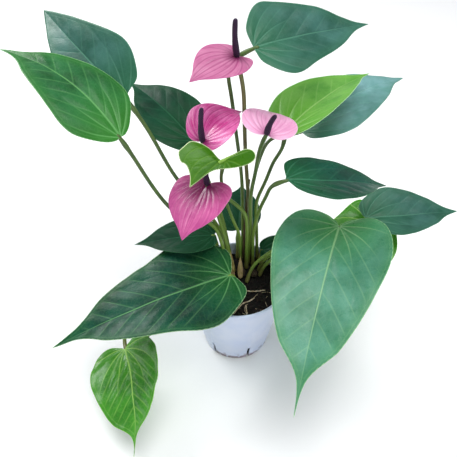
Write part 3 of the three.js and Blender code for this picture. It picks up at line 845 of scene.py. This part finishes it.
def jointed(turn, far):
    """A stem that swells at each old leaf joint, 27 mm apart."""
    return 1 + 0.16 * np.exp(-(((far % 27) - 13) / 1.6) ** 2)


finished(tube("old_stem_stub", *centreline("old_stem"), jointed), dry_stem, "stem_brown", "old_stem")
for number, name in enumerate(("front", "side")):
    blade(f"dry_sheath_{name}", f"sheath_{name}", sheath_paper, "sheath_straw", None,
          wave=0.5, quilt=0.0, thick=0.35, rib=0.2, arcs=6, seed=61 + number)


# ---- Pot

_, pot_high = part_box("pot")
RIM, HEIGHT = pot_high.x, pot_high.z
FOOT, BEAD, BAND, WALL, FLOOR = 0.041, 0.0012, 0.004, 0.0018, 0.0024  # of the CAD pot
PROFILE = [  # radius and height of each ring, from the underside up the outside and down the inside
    (FOOT - 0.004, 0.0), (FOOT - 0.0012, 0.0), (FOOT - 0.0003, 0.0004), (FOOT, 0.0012),
    (FOOT + 0.00017, 0.004), (FOOT + 0.0028, 0.0185), (FOOT + 0.0031, 0.0192), (FOOT + 0.0036, 0.02),
    (RIM - BEAD - 0.0021, 0.094),
    (RIM - BEAD - 0.0018, 0.0952), (RIM - BEAD - 0.0006, HEIGHT - BAND - 0.0012),
    (RIM - 0.0005, HEIGHT - BAND - 0.0004), (RIM, HEIGHT - BAND + 0.0004), (RIM, HEIGHT - 0.001),
    (RIM - 0.0004, HEIGHT - 0.0003), (RIM - 0.0011, HEIGHT), (RIM - 0.0022, HEIGHT),
    (RIM - BEAD - WALL + 0.0002, HEIGHT - 0.0008), (RIM - BEAD - WALL, HEIGHT - 0.003),
    (FOOT - WALL + 0.0006, FLOOR + 0.001), (FOOT - WALL - 0.0008, FLOOR),
]
pot = started("nursery_pot", bpy.ops.mesh.primitive_circle_add,
              vertices=128, radius=PROFILE[0][0], fill_type="NGON")
bpy.ops.object.mode_set(mode="EDIT")
bpy.ops.mesh.select_all(action="SELECT")
for (radius, height), (next_radius, next_height) in zip(PROFILE, PROFILE[1:]):
    bpy.ops.mesh.extrude_region_move(TRANSFORM_OT_translate={"value": (0, 0, next_height - height)})
    wider = next_radius / radius
    bpy.ops.transform.resize(value=(wider, wider, 1), center_override=(0, 0, next_height))
bpy.ops.mesh.select_all(action="SELECT")
bpy.ops.mesh.normals_make_consistent(inside=False)
bpy.ops.object.mode_set(mode="OBJECT")

SLOTS, SLOT_WIDE, SLOT_HIGH, SLOT_DEEP = 6, 0.0032, 0.024, 0.0055
SLOT_TURN = radians(-10)  # of the ring of slots from the front
for k in range(SLOTS):
    turn = tau * (k + 0.5) / SLOTS - pi / 2 + SLOT_TURN
    cutter = started("slot_cutter", bpy.ops.mesh.primitive_cube_add, size=1)
    cutter.scale = (2 * SLOT_DEEP, SLOT_WIDE, 2 * SLOT_HIGH)
    cutter.rotation_euler = (0, 0, turn)
    cutter.location = (FOOT * cos(turn), FOOT * sin(turn), 0)
    bpy.ops.object.transform_apply(location=True, rotation=True, scale=True)
    bevel = cutter.modifiers.new("rounded_slot", "BEVEL")
    bevel.width, bevel.segments = 0.0009, 3
    select_only(cutter)
    bpy.ops.object.modifier_apply(modifier=bevel.name)
    select_only(pot)
    cut = pot.modifiers.new("slot", "BOOLEAN")
    cut.operation, cut.object, cut.solver = "DIFFERENCE", cutter, "EXACT"
    bpy.ops.object.modifier_apply(modifier=cut.name)
    bpy.data.objects.remove(cutter)
select_only(pot)
bpy.ops.object.shade_smooth_by_angle(angle=radians(35))
finished(pot, pot_plastic(0.016), "pot_plastic", "pot")


# ---- Potting mix

soil_low, soil_high = (np.array(c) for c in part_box("potting_mix"))
SOIL_RADIUS = soil_high[0] - 0.0004
soil_edge = soil_high[2] - 0.002
SOIL_SIDES, SOIL_RINGS = 160, 60
turn, out = np.meshgrid(np.linspace(0, tau, SOIL_SIDES + 1), np.linspace(0, 1, SOIL_RINGS))
flat = np.stack([SOIL_RADIUS * out * np.cos(turn), SOIL_RADIUS * out * np.sin(turn), 0 * out], -1)
lumps = 1.5 * waves(flat, 11, 3) + 0.9 * waves(flat, 4.5, 9) + 0.5 * waves(flat, 2, 5)
flat[..., 2] = soil_edge + 0.0015 * (1 - out**2) + lumps * MM * 0.8 - 0.0008
flat[:, -1] = flat[:, 0]
narrower = (FOOT - WALL - 0.0015) / SOIL_RADIUS
wall = flat[-1:] * (narrower, narrower, 0) + (0, 0, soil_low[2] + 0.0003)
centre = wall * (0, 0, 1)
soil = shell("potting_mix_surface", np.concatenate([flat, wall, centre]))
finished(soil, peat, "potting_mix", "potting_mix")


def soil_height(x, y):
    """Height of the mix under a point."""
    far = min(1.0, np.hypot(x, y) / SOIL_RADIUS)
    row, col = far * (SOIL_RINGS - 1), (np.arctan2(y, x) % tau) / tau * SOIL_SIDES
    return flat[int(round(row)), int(round(col)) % SOIL_SIDES, 2]


rng = np.random.default_rng(7)
FLAKES = 210
flake = started("one_flake", bpy.ops.mesh.primitive_cube_add, size=2)
bpy.ops.object.mode_set(mode="EDIT")
bpy.ops.mesh.select_all(action="SELECT")
bpy.ops.mesh.subdivide(number_cuts=1)
bpy.ops.mesh.vertices_smooth(factor=0.35)
bpy.ops.object.mode_set(mode="OBJECT")
shape = np.array([v.co for v in flake.data.vertices])
faces = np.array([list(p.vertices) for p in flake.data.polygons])
bpy.data.objects.remove(flake)
all_points, all_faces = [], []
for k in range(FLAKES):
    far, turn = SOIL_RADIUS * 0.95 * np.sqrt(rng.uniform(0, 1)), rng.uniform(0, tau)
    x, y = far * cos(turn), far * sin(turn)
    size = rng.uniform(0.6, 1.5) * np.array([2.6, 1.5, 0.7]) * MM
    a, b, c = rng.uniform(0, tau), rng.normal(0, 0.35), rng.normal(0, 0.35)
    spin = np.array([[cos(a), -sin(a), 0], [sin(a), cos(a), 0], [0, 0, 1]]) @ np.array(
        [[cos(b), 0, sin(b)], [0, 1, 0], [-sin(b), 0, cos(b)]]) @ np.array(
        [[1, 0, 0], [0, cos(c), -sin(c)], [0, sin(c), cos(c)]])
    crumbled = shape * size * (1 + rng.uniform(-0.22, 0.22, shape.shape))
    all_points.append(crumbled @ spin.T + (x, y, soil_height(x, y) + 0.0004))
    all_faces.append(faces + k * len(shape))
mesh = bpy.data.meshes.new("bark_flakes")
mesh.from_pydata(np.concatenate(all_points).tolist(), [], np.concatenate(all_faces).tolist())
flakes = bpy.data.objects.new("bark_flakes", mesh)
bpy.context.scene.collection.objects.link(flakes)
finished(flakes, bark, "potting_mix")


def uneven(turn, far):
    """A root that is thick and thin by turns, and a little three-sided."""
    return 0.8 + 0.25 * np.sin(far * 1.1) * np.cos(far * 0.37) + 0.1 * np.cos(3 * turn)


def fibre(name, path, radius, *nodes):
    """A loose root: thin, uneven, slightly kinked."""
    radii = np.full(len(path), radius)
    piece = tube(name, np.array(path), radii, uneven, sides=10, steps=44)
    return finished(piece, root_fibre, "root_fibre", *nodes)


FINE_ROOTS = 9
for name in ("fibre_a", "fibre_b", "fibre_c"):
    centres, radii = centreline(name)
    fibre(f"loose_root_{name[-1]}", centres, radii.mean() * 1.2, name)
for k in range(FINE_ROOTS):
    x, y = rng.uniform(-0.03, 0.036), rng.uniform(-0.045, -0.006)
    way, long = rng.uniform(0, tau), rng.uniform(0.006, 0.014)
    steps = np.linspace(-1, 1, 5)
    path = [(x + long * t * cos(way + 0.4 * t), y + long * t * sin(way + 0.4 * t), 0) for t in steps]
    path = [(a, b, soil_height(a, b) + 0.0007) for a, b, _ in path if np.hypot(a, b) < SOIL_RADIUS - 0.002]
    if len(path) > 2:
        fibre(f"fine_root_{k}", path, 0.00035)


# ---- Floor and light

def matt_paper():
    """Matt white paper: even, with a faint tooth."""
    material, shader, add = surface("matt_paper", Roughness=0.9, Specular_IOR_Level=0.2)
    skin = layered(add, srgb("#fcfcfc"), (speckle(add, 3), "#fafafa"))
    shader.id_data.links.new(skin, shader.inputs["Base Color"])
    return material


floor = started("floor", bpy.ops.mesh.primitive_plane_add, size=14, location=(0, 0, -0.0002))
floor.data.materials.append(matt_paper())

world = bpy.data.worlds.new("studio")
bpy.context.scene.world = world
world.use_nodes = True
sky = next(n for n in world.node_tree.nodes if n.type == "BACKGROUND")
sky.inputs["Color"].default_value = srgb("#f4f8ff")
sky.inputs["Strength"].default_value = 0.40
LAMPS = {  # place, size and watts
    "window": ((-1.1, 0.9, 1.5), 0.9, 24),
    "overhead": ((0.3, -0.2, 2.2), 1.4, 30),
    "front": ((0.9, -1.6, 1.2), 1.2, 12),
}
for name, (place, size, watts) in LAMPS.items():
    bpy.ops.object.light_add(type="AREA", location=place)
    lamp = bpy.context.object
    lamp.name = name
    lamp.data.size, lamp.data.energy = size, watts
    lamp.rotation_euler = (Vector((0, 0, 0.2)) - Vector(place)).to_track_quat("-Z", "Y").to_euler()
